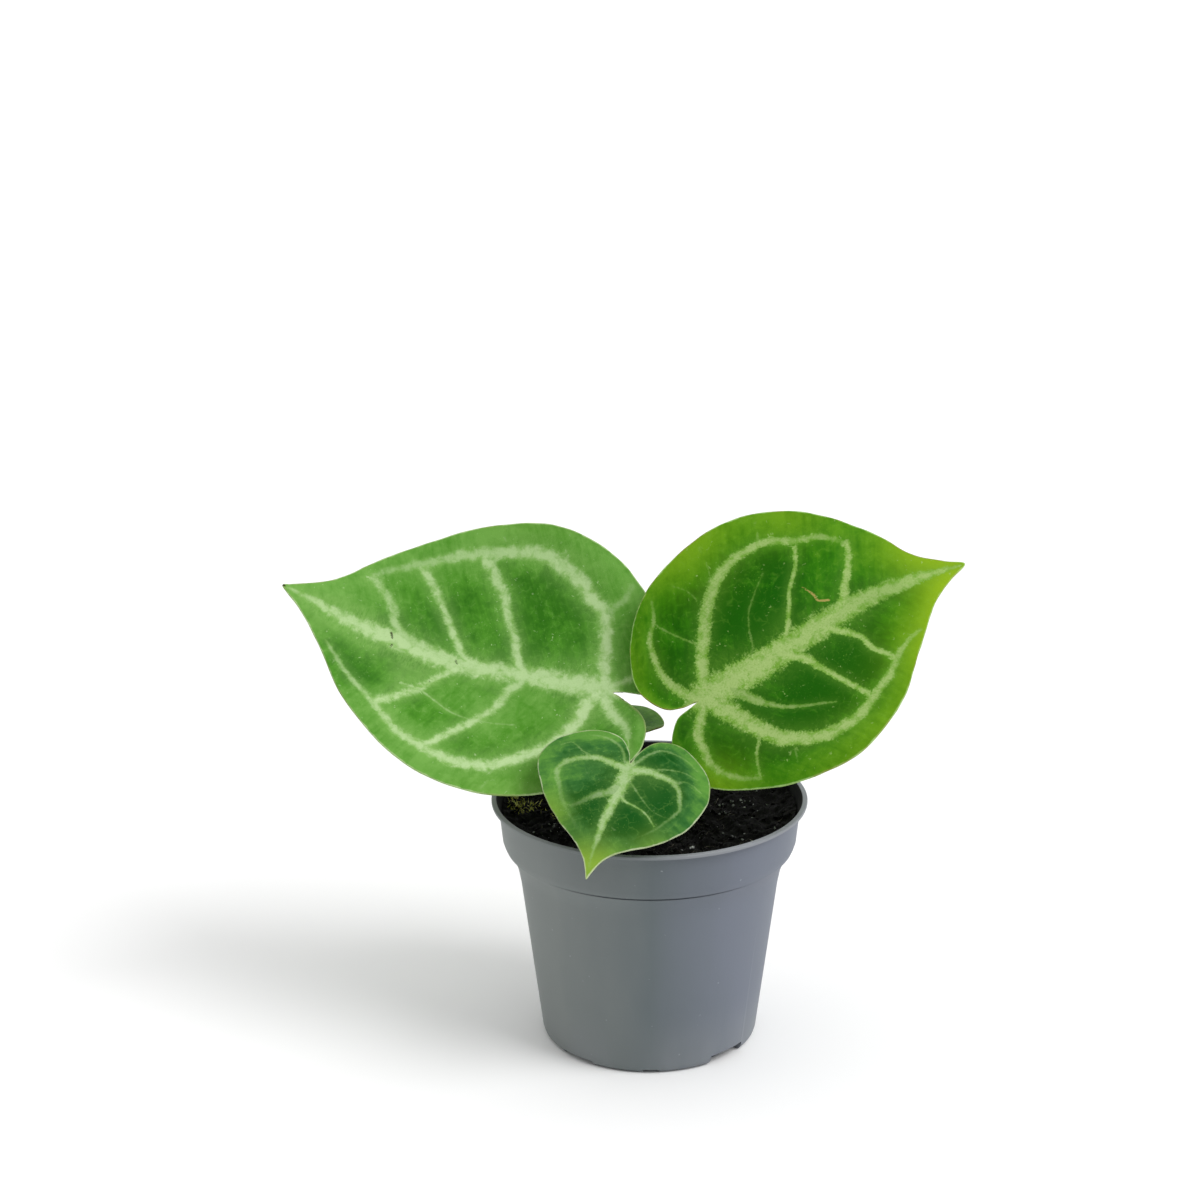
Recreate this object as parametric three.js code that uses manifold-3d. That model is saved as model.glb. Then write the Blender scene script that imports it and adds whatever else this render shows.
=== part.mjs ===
// A young velvet-leaved anthurium in its grey plastic nursery pot.
// Millimetres, +Z up, the origin at the middle of the pot's underside, the front towards -Y.
import * as THREE from "three";
import { mergeVertices } from "three/addons/utils/BufferGeometryUtils.js";
import Module from "manifold-3d";

const wasm = await Module();
wasm.setup();

// Driving dimensions
const clearance = 0.3;
const potHeight = 48;
const lipRadius = 30;
const lipInnerRadius = 28.6;
const lipThickness = 0.6;
const bandTopRadius = 28.45;
const bandTopDrop = 3.5;
const bandFootRadius = 27.95;
const bandFootDrop = 8.2;
const bandStep = 0.25;
const shoulderRadius = 25.1;
const shoulderDrop = 13.8;
const footRadius = 20.75;
const footRound = 1.5;
const wall = 0.8;
const floorThickness = 1;
const potSides = 64;
const wideNotch = { width: 8.5, height: 2, azimuth: 46 };
const shallowNotch = { width: 7.5, height: 1, azimuth: 318 };
const smallNotch = { width: 3.2, height: 0.8, azimuth: 1 };
const notchDepth = 2.6;

const soilLevel = 44.2;
const soilHeap = 1.8;
const soilLump = 0.7;
const soilSides = 44;
// Each ring of the soil's top as [share of the radius, share of the heap].
const soilRings = [
  [0.97, 0.85], [0.92, 0.45], [0.85, 0.15], [0.75, 0], [0.64, 0], [0.53, 0], [0.42, 0], [0.31, 0], [0.21, 0],
];

const stemFoot = 30;
const stemTop = 53;
const stemRadius = 3;

const bladeThickness = 0.75;
const ringReaches = [0.2, 0.42, 0.64, 0.84, 1];

const leafGreen = new THREE.MeshStandardMaterial({ color: 0x3f7a2a, roughness: 0.55, metalness: 0 });
const deepGreen = new THREE.MeshStandardMaterial({ color: 0x2f6a1c, roughness: 0.55, metalness: 0 });
const coolGreen = new THREE.MeshStandardMaterial({ color: 0x4f8450, roughness: 0.6, metalness: 0 });
const stemGreen = new THREE.MeshStandardMaterial({ color: 0x6f8a3e, roughness: 0.6, metalness: 0 });
const greyPlastic = new THREE.MeshStandardMaterial({ color: 0x767c80, roughness: 0.5, metalness: 0 });
const darkSoil = new THREE.MeshStandardMaterial({ color: 0x17140f, roughness: 0.95, metalness: 0 });

const part = new THREE.Group();

function radians(degrees) {
  return THREE.MathUtils.degToRad(degrees);
}

// Solids and geometry

function solidOf(geometry) {
  const bare = geometry.clone();
  bare.deleteAttribute("normal");
  bare.deleteAttribute("uv");
  const merged = mergeVertices(bare, 1e-4);
  const corners = merged.index.array;
  const kept = [];
  for (let i = 0; i < corners.length; i += 3) {
    const [a, b, c] = [corners[i], corners[i + 1], corners[i + 2]];
    if (a !== b && b !== c && c !== a) {
      kept.push(a, b, c);
    }
  }
  const mesh = new wasm.Mesh({
    numProp: 3,
    vertProperties: new Float32Array(merged.attributes.position.array),
    triVerts: new Uint32Array(kept),
  });
  return new wasm.Manifold(mesh);
}

function geometryOf(solid) {
  const mesh = solid.getMesh();
  const geometry = new THREE.BufferGeometry();
  geometry.setAttribute("position", new THREE.BufferAttribute(mesh.vertProperties, 3));
  geometry.setIndex(new THREE.BufferAttribute(mesh.triVerts, 1));
  geometry.computeVertexNormals();
  return geometry;
}

function addPart(name, solid, material) {
  const mesh = new THREE.Mesh(geometryOf(solid), material);
  mesh.name = name;
  part.add(mesh);
}

// A turned body round +Z; the profile runs up its outside, each point as [radius, height].
function turned(profile, sides) {
  const points = profile.map(([radius, height]) => new THREE.Vector2(radius, height));
  return new THREE.LatheGeometry(points, sides).rotateX(Math.PI / 2);
}

// A round rod along a curve; radiusAt gives its radius at each share of the way.
function rod(curve, radiusAt, sides, steps) {
  const geometry = new THREE.CylinderGeometry(1, 1, 1, sides, steps);
  const frames = curve.computeFrenetFrames(steps, false);
  const position = geometry.attributes.position;
  for (let i = 0; i < position.count; i += 1) {
    const step = Math.round((position.getY(i) + 0.5) * steps);
    const share = step / steps;
    const radius = radiusAt(share);
    const place = curve.getPointAt(share);
    place.addScaledVector(frames.normals[step], position.getZ(i) * radius);
    place.addScaledVector(frames.binormals[step], position.getX(i) * radius);
    position.setXYZ(i, place.x, place.y, place.z);
  }
  return geometry;
}

// Pot

function potOutside() {
  const profile = [[0, 0]];
  for (const turn of [0, 30, 60, 90]) {
    profile.push([
      footRadius - footRound + footRound * Math.sin(radians(turn)),
      footRound - footRound * Math.cos(radians(turn)),
    ]);
  }
  profile.push([shoulderRadius, potHeight - shoulderDrop]);
  profile.push([shoulderRadius + 0.4, potHeight - shoulderDrop + 1.4]);
  profile.push([shoulderRadius + 1.2, potHeight - shoulderDrop + 3]);
  profile.push([bandFootRadius - 0.7, potHeight - bandFootDrop - 1.2]);
  profile.push([bandFootRadius - bandStep, potHeight - bandFootDrop - 0.05]);
  profile.push([bandFootRadius, potHeight - bandFootDrop]);
  profile.push([bandTopRadius, potHeight - bandTopDrop]);
  profile.push([lipRadius - 0.8, potHeight - lipThickness - 0.7]);
  profile.push([lipRadius, potHeight - lipThickness]);
  profile.push([lipRadius, potHeight]);
  return profile;
}

// The pot's inside from the lip down to the floor, as [radius, height].
function potInside(gap) {
  const inner = wall + gap;
  const floor = floorThickness + gap;
  return [
    [bandTopRadius - inner, potHeight - bandTopDrop],
    [bandFootRadius - inner, potHeight - bandFootDrop],
    [shoulderRadius - inner + 1.1, potHeight - shoulderDrop + 2.6],
    [shoulderRadius - inner, potHeight - shoulderDrop - 0.3],
    [footRadius - inner + 0.05, floor + 1],
    [footRadius - inner - 0.9, floor],
    [0, floor],
  ];
}

function notch({ width, height }, azimuth) {
  const length = 2 * notchDepth;
  const bar = new THREE.BoxGeometry(width, length, 2 * height);
  bar.translate(0, -footRadius, 0);
  return bar.rotateZ(radians(azimuth));
}

function pot() {
  const profile = [
    ...potOutside(),
    [lipInnerRadius, potHeight],
    [lipInnerRadius - 0.5, potHeight - 1.5],
    ...potInside(0),
  ];
  let solid = solidOf(turned(profile, potSides));
  for (const half of [0, 180]) {
    for (const kind of [wideNotch, shallowNotch]) {
      solid = solid.subtract(solidOf(notch(kind, kind.azimuth + half)));
    }
    for (const quarter of [0, 90]) {
      solid = solid.subtract(solidOf(notch(smallNotch, smallNotch.azimuth + half + quarter)));
    }
  }
  return solid;
}

// Stem

function stemProfile(gap) {
  return [
    [0, stemFoot - gap],
    [stemRadius * 0.6 + gap, stemFoot - gap],
    [stemRadius * 0.9 + gap, stemFoot + 4],
    [stemRadius + gap, soilLevel],
    [stemRadius * 0.86 + gap, soilLevel + 2.5],
    [stemRadius * 0.6 + gap, soilLevel + 5],
    [stemRadius * 0.34 + gap, stemTop - 1.6],
    [0, stemTop + gap],
  ];
}

function stem() {
  return solidOf(turned(stemProfile(0), 20));
}

// Soil

function lumpHeight(x, y) {
  const coarse = Math.sin(x * 0.53 + 1.7) * Math.cos(y * 0.47 - 0.6);
  const fine = Math.sin(x * 1.31 - y * 0.74 + 2.1) * Math.cos(y * 1.17 + x * 0.38);
  return soilLump * (0.6 * coarse + 0.5 * fine);
}

// The soil is heaped against the wall, nearly up to the lip.
function soil() {
  const side = potInside(clearance).reverse();
  const below = side.filter(([, height]) => height < soilLevel - 1);
  const edgeRadius = bandTopRadius - wall - clearance - 0.1;
  const profile = [...below, [edgeRadius, soilLevel], [edgeRadius + 0.3, soilLevel + soilHeap]];
  for (const [share, heap] of soilRings) {
    profile.push([edgeRadius * share, soilLevel + soilHeap * heap]);
  }
  profile.push([0, soilLevel]);
  const body = turned(profile, soilSides);
  const position = body.attributes.position;
  for (let i = 0; i < position.count; i += 1) {
    const [x, y, z] = [position.getX(i), position.getY(i), position.getZ(i)];
    if (Math.hypot(x, y) < edgeRadius - 0.1 && z > soilLevel - 0.1) {
      position.setZ(i, z + lumpHeight(x, y));
    }
  }
  return solidOf(body).subtract(solidOf(turned(stemProfile(clearance), 20)));
}

// Leaves
// An edge is a list of [angle, radius] round the point where the blade meets its stalk: angle 0 is
// the tip, and positive angles are on the blade's left, seen from above with the tip ahead.
const largeLeftEdge = [
  [163, 1.3], [152, 6], [145, 10.8], [127, 15.3], [104, 19.5], [77, 26.5], [57, 34], [37, 41.6],
  [18, 49.7], [6, 55.6], [0, 61], [-3, 65.4], [-8, 57.4], [-20, 50], [-40, 41.6], [-60, 34.8], [-82, 26.2],
  [-104, 19.2], [-132, 14.6], [-158, 11], [-178, 7.4], [-188, 2.6],
];
const largeRightEdge = [
  [173, 1.2], [169, 4.6], [158, 8], [136, 13.3], [114, 17.7], [92, 22.3], [72, 27.2], [52, 34.5],
  [34, 40.5], [15, 45.4], [5, 48.2], [-2, 55.8], [-7, 48.5], [-20, 41.1], [-38, 37], [-58, 32.9],
  [-76, 27.3], [-94, 22], [-118, 18], [-142, 14], [-162, 9.8], [-178, 6.4], [-184, 3],
];
const smallFrontEdge = [
  [188, 1], [174, 3.6], [160, 7.4], [137, 10.9], [108, 13.7], [82, 16], [56, 17.1], [30, 17.7],
  [12, 18.8], [4, 21.2], [0, 24.2], [-10, 19.2], [-32, 17], [-56, 16.4], [-84, 16.9], [-104, 15.2],
  [-128, 11], [-150, 7.4], [-161, 3.8], [-168, 1.1],
];
const smallBackEdge = [
  [184, 1], [172, 4.4], [150, 7.8], [120, 10.4], [90, 12], [60, 13.4], [32, 15.6], [10, 19.5],
  [0, 25], [-10, 19.5], [-32, 15.6], [-60, 13.4], [-90, 12], [-120, 10.4], [-150, 7.8],
  [-168, 4.2], [-174, 1],
];

// Veins run as [angle, share of the way to the edge]; each is made on both halves of the blade.
const collectiveVein = [[50, 0.08], [64, 0.3], [66, 0.5], [58, 0.7], [46, 0.81], [32, 0.87], [18, 0.92]];
const lobeVein = [[125, 0.2], [120, 0.5], [106, 0.7], [92, 0.8]];
const lowerLateral = [[4, 0.27], [20, 0.43], [30, 0.62], [36, 0.82]];
const middleLateral = [[2, 0.44], [11, 0.6], [19, 0.85]];
const upperLateral = [[2, 0.62], [8, 0.76], [12, 0.88]];
const midrib = [[0, 0.02], [0, 0.3], [0, 0.6], [0, 0.9]];

const leaves = {
  leaf_left: {
    at: [-8, 4, 67.9], heading: 166, pitch: 3, roll: -42, curl: 0.5, cup: 0.007, wave: 0.45,
    edge: largeLeftEdge, material: leafGreen, stalk: 1,
    stalkRoute: [[-2.9, -0.4, 46], [-4.2, 1.2, 54], [-6.2, 4, 62]],
  },
  leaf_right: {
    at: [10.2, -5, 69.3], heading: 8, pitch: 35, roll: 42, curl: -0.5, cup: 0.004, wave: 0.4,
    edge: largeRightEdge, material: deepGreen, stalk: 1,
    stalkRoute: [[3, 0.2, 46], [4.6, -0.6, 54], [7.8, -1.3, 62.5]],
  },
  leaf_front: {
    at: [-3.6, -17.6, 60.4], heading: -110, pitch: -25, roll: -10, curl: -0.8, cup: -0.003, wave: 0.3,
    edge: smallFrontEdge, material: coolGreen, stalk: 0.75,
    stalkRoute: [[0.4, -2.7, 46], [-0.8, -6.2, 51.4], [-2.5, -11, 54.8], [-3.5, -15.4, 56.8]],
  },
  leaf_back: {
    at: [-8, 14, 57], heading: 118, pitch: 0, roll: 0, curl: -0.5, cup: -0.002, wave: 0.3,
    edge: smallBackEdge, material: deepGreen, stalk: 0.75,
    stalkRoute: [[-0.9, 2.8, 46], [-2.6, 6.6, 50.8], [-5.4, 10.4, 53.4]],
  },
};

// The leaf's own directions where the stalk meets it: along the midrib, to its left, and up.
function leafAxes({ heading, pitch, roll }) {
  const along = new THREE.Vector3(1, 0, 0);
  along.applyAxisAngle(new THREE.Vector3(0, 1, 0), -radians(pitch));
  along.applyAxisAngle(new THREE.Vector3(0, 0, 1), radians(heading));
  const left = new THREE.Vector3(0, 0, 1).cross(along).normalize();
  left.applyAxisAngle(along, radians(roll));
  const up = along.clone().cross(left);
  return { along, left, up };
}

// A point of the blade, from its flat place: the midrib curls along an arc, the halves cup up
// and the margin waves. depth is how far the point lies under the upper face.
function bladePoint(leaf, axes, flatX, flatY, reach, depth) {
  const curl = radians(leaf.curl);
  const turn = flatX > 0 ? curl * flatX : 0;
  const forward = flatX > 0 ? Math.sin(turn) / curl : flatX;
  const rise = flatX > 0 ? (1 - Math.cos(turn)) / curl : 0;
  const angle = Math.atan2(flatY, flatX);
  const wave = leaf.wave * Math.sin(5 * angle + 0.8) * reach ** 3;
  const lift = leaf.cup * flatY ** 2 + wave - depth;
  const normal = axes.up.clone().multiplyScalar(Math.cos(turn));
  normal.addScaledVector(axes.along, -Math.sin(turn));
  return new THREE.Vector3(...leaf.at)
    .addScaledVector(axes.along, forward)
    .addScaledVector(axes.up, rise)
    .addScaledVector(axes.left, flatY)
    .addScaledVector(normal, lift);
}

function edgeLoop(edge) {
  const corners = edge.map(([angle, radius]) => new THREE.Vector3(
    radius * Math.cos(radians(angle)), radius * Math.sin(radians(angle)), 0));
  const loop = new THREE.CatmullRomCurve3(corners, true, "catmullrom", 0.5);
  return loop.getPoints(2 * edge.length).slice(0, -1);
}

function edgeRadius(edge, angle) {
  const after = edge.findIndex(([edgeAngle]) => edgeAngle <= angle);
  const [highAngle, highRadius] = edge[after - 1];
  const [lowAngle, lowRadius] = edge[after];
  return THREE.MathUtils.mapLinear(angle, lowAngle, highAngle, lowRadius, highRadius);
}

// The blade is a sheet over rings that shrink towards the stalk, with both faces split alike.
function blade(leaf, axes) {
  const loop = edgeLoop(leaf.edge).reverse();
  const count = loop.length;
  const points = [];
  for (const depth of [0, bladeThickness]) {
    points.push(bladePoint(leaf, axes, 0, 0, 0, depth));
    for (const reach of ringReaches) {
      for (const { x, y } of loop) {
        points.push(bladePoint(leaf, axes, x * reach, y * reach, reach, depth));
      }
    }
  }
  const faceSize = 1 + ringReaches.length * count;
  const triangles = [];
  const place = (ring, k) => 1 + ring * count + (k % count);
  function face(a, b, c) {
    triangles.push(a, b, c, faceSize + a, faceSize + c, faceSize + b);
  }
  for (let k = 0; k < count; k += 1) {
    face(0, place(0, k), place(0, k + 1));
    for (let ring = 0; ring + 1 < ringReaches.length; ring += 1) {
      face(place(ring, k), place(ring + 1, k), place(ring + 1, k + 1));
      face(place(ring, k), place(ring + 1, k + 1), place(ring, k + 1));
    }
    const [near, far] = [place(ringReaches.length - 1, k), place(ringReaches.length - 1, k + 1)];
    triangles.push(near, faceSize + near, faceSize + far, near, faceSize + far, far);
  }
  const geometry = new THREE.BufferGeometry().setFromPoints(points);
  geometry.setIndex(triangles);
  return geometry;
}

// A rib is a slim rod let into the underside of the blade.
function rib(leaf, axes, route, side, startRadius, endRadius, sides) {
  const points = route.map(([angle, share]) => {
    const radius = share * edgeRadius(leaf.edge, side * angle);
    const turn = radians(side * angle);
    const depth = bladeThickness + 0.15;
    return bladePoint(leaf, axes, radius * Math.cos(turn), radius * Math.sin(turn), share, depth);
  });
  const curve = new THREE.CatmullRomCurve3(points);
  const steps = route.length > 5 ? 10 : 4;
  return rod(curve, (share) => THREE.MathUtils.lerp(startRadius, endRadius, share), sides, steps);
}

// The stalk is thick where it clasps the stem, slim above, and swells below the blade.
function stalkRadius(thickness, share) {
  const sheath = 0.8 * Math.max(0, 1 - share / 0.25) ** 2;
  const swelling = 0.3 * Math.exp(-(((share - 0.9) / 0.07) ** 2));
  const taper = share > 0.93 ? (1 - share) / 0.07 : 1;
  return thickness * (0.4 + (0.6 + sheath + swelling) * taper);
}

function stalk(leaf, axes) {
  const joint = bladePoint(leaf, axes, 1.3, 0, 0, bladeThickness * 0.75);
  const route = [...leaf.stalkRoute.map((place) => new THREE.Vector3(...place)), joint];
  const curve = new THREE.CatmullRomCurve3(route);
  return rod(curve, (share) => stalkRadius(leaf.stalk, share), 8, 14);
}

function leafSolid(leaf) {
  const axes = leafAxes(leaf);
  const size = leaf.stalk;
  let solid = solidOf(blade(leaf, axes));
  solid = solid.add(solidOf(rib(leaf, axes, midrib, 1, 0.8 * size, 0.35 * size, 5)));
  for (const side of [1, -1]) {
    for (const route of [collectiveVein, lobeVein, lowerLateral, middleLateral, upperLateral]) {
      solid = solid.add(solidOf(rib(leaf, axes, route, side, 0.5 * size, 0.32 * size, 3)));
    }
  }
  const stemRoom = solidOf(turned(stemProfile(clearance), 20));
  return solid.add(solidOf(stalk(leaf, axes)).subtract(stemRoom));
}

addPart("pot", pot(), greyPlastic);
addPart("soil", soil(), darkSoil);
addPart("stem", stem(), stemGreen);
for (const [name, leaf] of Object.entries(leaves)) {
  addPart(name, leafSolid(leaf), leaf.material);
}

export default part;
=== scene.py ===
import math
import random
from contextlib import contextmanager

import bpy
import numpy as np
from mathutils import Matrix, Vector, noise


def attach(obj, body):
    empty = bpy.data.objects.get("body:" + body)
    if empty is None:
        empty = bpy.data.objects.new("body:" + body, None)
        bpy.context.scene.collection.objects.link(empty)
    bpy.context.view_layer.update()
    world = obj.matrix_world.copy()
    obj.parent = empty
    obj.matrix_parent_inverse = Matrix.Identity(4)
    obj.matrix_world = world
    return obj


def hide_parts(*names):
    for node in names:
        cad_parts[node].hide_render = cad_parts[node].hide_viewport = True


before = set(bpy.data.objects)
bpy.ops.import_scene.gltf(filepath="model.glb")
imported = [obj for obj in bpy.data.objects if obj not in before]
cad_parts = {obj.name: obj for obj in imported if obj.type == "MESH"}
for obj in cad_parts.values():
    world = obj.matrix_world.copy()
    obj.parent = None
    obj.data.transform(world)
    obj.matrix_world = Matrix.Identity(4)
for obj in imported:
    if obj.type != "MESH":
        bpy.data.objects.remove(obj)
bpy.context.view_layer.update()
print("frame loaded:", ", ".join(sorted(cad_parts)))

mm = 0.001


# helpers for picking, shaping and finishing pieces

def pick(*items):
    bpy.ops.object.select_all(action="DESELECT")
    for item in items:
        item.select_set(True)
    bpy.context.view_layer.objects.active = items[0]


def justAdded(name):
    piece = bpy.context.active_object
    piece.name = name
    piece.data.name = name
    return piece


def applyAll(piece):
    pick(piece)
    for modifier in list(piece.modifiers):
        bpy.ops.object.modifier_apply(modifier=modifier.name)


def settle(piece):   # the place goes into the mesh, so the object sits at the origin
    pick(piece)
    bpy.ops.object.transform_apply(location=True, rotation=True, scale=True)


def smooth(piece, angle):
    pick(piece)
    bpy.ops.object.shade_smooth_by_angle(angle=math.radians(angle))


@contextmanager
def wholeMesh():   # edit mode, with all of the mesh selected
    bpy.ops.object.mode_set(mode="EDIT")
    bpy.ops.mesh.select_all(action="SELECT")
    yield
    bpy.ops.object.mode_set(mode="OBJECT")


def faceOutwards():   # in edit mode
    bpy.ops.mesh.select_all(action="SELECT")
    bpy.ops.mesh.normals_make_consistent(inside=False)


def turned(name, sides, profile):   # drawn up from a disc through each (radius, height) in mm
    radius, height = profile[0]
    bpy.ops.mesh.primitive_circle_add(vertices=sides, radius=radius * mm, fill_type="NGON",
                                      location=(0, 0, height * mm))
    piece = justAdded(name)
    settle(piece)
    with wholeMesh():
        for nextRadius, nextHeight in profile[1:]:
            share = nextRadius / radius
            rise = (0, 0, (nextHeight - height) * mm)
            bpy.ops.mesh.extrude_region_move(TRANSFORM_OT_translate={"value": rise})
            bpy.ops.transform.resize(value=(share, share, 1), center_override=(0, 0, nextHeight * mm))
            radius, height = nextRadius, nextHeight
        faceOutwards()
    return piece


def startTubes(name, radius, resolution):   # a curve object; each of its splines becomes a tube
    bpy.ops.curve.primitive_nurbs_path_add()
    tubes = justAdded(name)
    curve = tubes.data
    curve.splines.clear()
    curve.bevel_depth = radius * mm
    curve.bevel_resolution = resolution
    curve.use_fill_caps = True
    return tubes


def addTube(tubes, route, radii):   # route in mm, radii as shares of the curve's own
    spline = tubes.data.splines.new("POLY")
    spline.points.add(len(route) - 1)
    for point, place, radius in zip(spline.points, route, radii):
        point.co = (*[value * mm for value in place], 1)
        point.radius = radius


def tubesToMesh(tubes):
    pick(tubes)
    bpy.ops.object.convert(target="MESH")
    made = justAdded(tubes.name)
    settle(made)
    return made


def placeCopy(source, place, scale, turns):   # place and scale in mm
    copy = source.copy()
    copy.data = source.data.copy()
    bpy.context.collection.objects.link(copy)
    copy.location = Vector(place) * mm
    copy.scale = [value * mm for value in scale]
    copy.rotation_euler = turns
    return copy


def joinCopies(name, copies, sources, angle):
    for source in sources:
        bpy.data.objects.remove(source)
    bpy.context.view_layer.update()
    pick(*copies)
    bpy.ops.object.join()
    joined = justAdded(name)
    settle(joined)
    smooth(joined, angle)
    return joined


def standFor(piece, nodeName, *materials):
    for material in materials:
        piece.data.materials.append(material)
    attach(piece, "root")
    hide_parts(nodeName)


def paint(mesh, name, values):   # a number for each vertex, which the materials read
    layer = mesh.attributes.new(name, "FLOAT", "POINT")
    layer.data.foreach_set("value", np.asarray(values, np.float32))


def between(a, b, start, end, t):   # a at the start, b at the end
    return ((end - t) * a + (t - start) * b) / (end - start)


def smoothCurve(points, steps, closed=False, spread=0.0):
    # a soft curve through the points; spread 0 is even, 0.5 follows uneven spacing
    line = [np.array(point, float) for point in points]
    if closed:
        line = [line[-1]] + line + line[:2]
    else:
        line = [2 * line[0] - line[1]] + line + [2 * line[-1] - line[-2]]
    made = []
    for a, b, c, d in zip(line, line[1:], line[2:], line[3:]):
        tb = np.linalg.norm(b - a) ** spread
        tc = tb + np.linalg.norm(c - b) ** spread
        td = tc + np.linalg.norm(d - c) ** spread
        for k in range(steps):
            t = tb + (tc - tb) * k / steps
            ab, bc, cd = between(a, b, 0, tb, t), between(b, c, tb, tc, t), between(c, d, tc, td, t)
            abc, bcd = between(ab, bc, 0, tc, t), between(bc, cd, tb, td, t)
            made.append(between(abc, bcd, tb, tc, t))
    if not closed:
        made.append(line[-2])
    return np.array(made)


# helpers for materials

class Value:   # a node's output, which adds and multiplies like a plain number
    def __init__(self, tree, socket):
        self.tree = tree
        self.socket = socket

    def operate(self, operation, other=0.0):
        return node(self.tree, "Math", {0: self, 1: other}, operation=operation)

    def __add__(self, other):
        return self.operate("ADD", other)

    def __sub__(self, other):
        return self.operate("SUBTRACT", other)

    def __mul__(self, other):
        return self.operate("MULTIPLY", other)

    def __truediv__(self, other):
        return self.operate("DIVIDE", other)

    def __abs__(self):
        return self.operate("ABSOLUTE")

    def fade(self, low, high, to=1.0):   # 0 below low, rising softly to "to" at high
        inputs = {"Value": self, "From Min": low, "From Max": high, "To Max": to}
        return node(self.tree, "MapRange", inputs, interpolation_type="SMOOTHSTEP")

    def swing(self, strength):   # a 0 to 1 noise turned into a swing either way
        return (self - 0.5) * strength

    def ramp(self, stops):   # a colour, from stops of (value, colour)
        made = newNode(self.tree, "ValToRGB", {0: self})
        elements = made.color_ramp.elements
        while len(elements) < len(stops):
            elements.new(0.5)
        for element, (place, tint) in zip(elements, stops):
            element.position = place
            element.color = tint
        return Value(self.tree, made.outputs[0])


def put(tree, socket, value):
    if isinstance(value, Value):
        tree.links.new(value.socket, socket)
    else:
        socket.default_value = value


def newNode(tree, kind, inputs=None, **settings):
    made = tree.nodes.new("ShaderNode" + kind)
    for name, value in settings.items():
        setattr(made, name, value)
    for socket, value in (inputs or {}).items():
        put(tree, made.inputs[socket], value)
    return made


def node(tree, kind, inputs=None, output=0, **settings):
    return Value(tree, newNode(tree, kind, inputs, **settings).outputs[output])


def color(red, green, blue):   # from a screen colour, 0 to 255
    shares = [value / 255 for value in (red, green, blue)]
    return [s / 12.92 if s < 0.04045 else ((s + 0.055) / 1.055) ** 2.4 for s in shares] + [1]


def mix(amount, first, second):
    return node(amount.tree, "Mix", {0: amount, 6: first, 7: second}, output=2, data_type="RGBA")


def apart(place):   # the x, y and z of a place
    made = newNode(place.tree, "SeparateXYZ", {0: place})
    return [Value(place.tree, socket) for socket in made.outputs]


def stretched(place, share):   # noise read here runs upwards
    return node(place.tree, "Mapping", {"Vector": place, "Scale": (1, 1, share)})


def grain(place, scale, detail=3.0, rough=0.55, warp=0.0):
    return node(place.tree, "TexNoise", {"Vector": place, "Scale": scale, "Detail": detail,
                                         "Roughness": rough, "Distortion": warp})


def newMaterial(name):
    material = bpy.data.materials.new(name)
    material.use_nodes = True
    return material, material.node_tree


def objectPlace(tree):
    return node(tree, "TexCoord", output="Object")


def dress(tree, inputs, bump=None):   # bump is a relief, its strength and its depth in mm
    if bump:
        relief, strength, depth = bump
        settings = {"Height": relief, "Strength": strength, "Distance": depth * mm}
        inputs["Normal"] = node(tree, "Bump", settings)
    shader = tree.nodes["Principled BSDF"]
    for socket, value in inputs.items():
        put(tree, shader.inputs[socket], value)


# camera, floor and light

studio = {
    "cameraPlace": (0.0, -443.4, 224.1),   # mm
    "cameraTurn": 1.183,                   # degrees, towards the left
    "cameraTilt": 72.802,
    "cameraRoll": -0.332,
    "lens": 75.06,
    "keyTurn": (44, 0, 64),                # degrees, from the right and a little in front
    "keyPower": 1.8,
    "keySoftness": 34,
    "roomFront": 0.25,                     # the room is dimmer behind the camera
    "roomSides": 0.87,
    "roomTop": 0.95,
    "floorSize": 20000,
}

bpy.ops.object.camera_add()
camera = justAdded("photoCamera")
camera.matrix_world = (
    Matrix.Translation(Vector(studio["cameraPlace"]) * mm)
    @ Matrix.Rotation(math.radians(studio["cameraTurn"]), 4, "Z")
    @ Matrix.Rotation(math.radians(studio["cameraTilt"]), 4, "X")
    @ Matrix.Rotation(math.radians(studio["cameraRoll"]), 4, "Z")
)
camera.data.lens = studio["lens"]
camera.data.sensor_width = 36
camera.data.clip_start = 0.01
camera.data.clip_end = 50
bpy.context.scene.camera = camera

bpy.ops.mesh.primitive_plane_add(size=studio["floorSize"] * mm)
floor = justAdded("floor")
material, tree = newMaterial("paleFloor")
tint = grain(objectPlace(tree), 3.0).ramp([(0.3, color(246, 246, 246)), (0.7, color(249, 249, 249))])
dress(tree, {"Base Color": tint, "Roughness": 0.9, "Specular IOR Level": 0.1})
floor.data.materials.append(material)

bpy.ops.object.light_add(type="SUN", rotation=[math.radians(turn) for turn in studio["keyTurn"]])
key = justAdded("softKey")
key.data.energy = studio["keyPower"]
key.data.angle = math.radians(studio["keySoftness"])
world = bpy.data.worlds.new("paleRoom")
world.use_nodes = True
room = world.node_tree
_, depth, height = apart(node(room, "TexCoord", output="Generated"))
level = depth.fade(-0.8, 0.3) * (studio["roomSides"] - studio["roomFront"]) + studio["roomFront"]
level = height.fade(0.35, 0.9) * (level * -1 + studio["roomTop"]) + level
air = room.nodes["Background"]
put(room, air.inputs["Color"], (1, 1, 1, 1))
put(room, air.inputs["Strength"], level)
bpy.context.scene.world = world
bpy.context.scene.view_settings.view_transform = "Standard"
print("studio ready")


# pot: one closed shell, drawn up from its underside, over the lip and down the inside

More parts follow.
